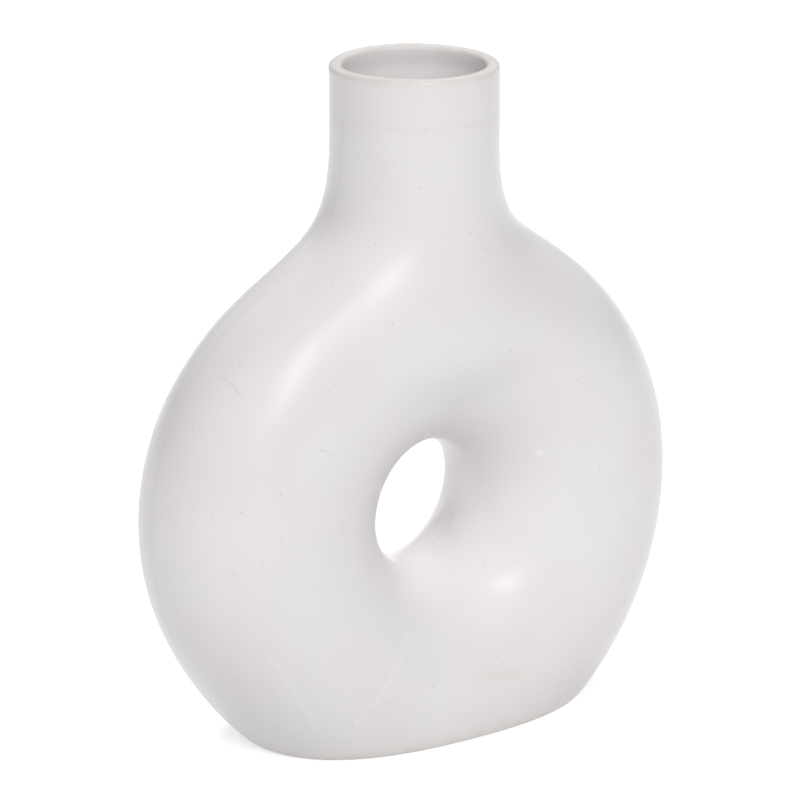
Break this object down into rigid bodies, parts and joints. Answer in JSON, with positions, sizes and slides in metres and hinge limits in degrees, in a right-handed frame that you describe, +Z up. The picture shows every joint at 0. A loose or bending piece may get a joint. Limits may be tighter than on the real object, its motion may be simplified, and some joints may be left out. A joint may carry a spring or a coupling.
{
  "type": "donut vase",
  "caption": "Free-standing white glazed ceramic vase: an upright hollow ring with a round eye, on a flat foot, with a straight neck and rounded lip for flower stems.",
  "frame": {"origin": "on the floor under the middle of the ring", "axes": "+Z up through the neck, -Y towards the front of the ring, X along the ring's width"},
  "size_m": [0.245, 0.094, 0.28],
  "materials": {
    "white_glaze": "satin white glaze",
    "bare_clay": "unglazed fired clay"
  },
  "bodies": {
    "root": {"front_half_shell": "white_glaze", "back_half_shell": "white_glaze", "neck_collar": "white_glaze", "base_slab": "bare_clay"}
  },
  "joints": []
}
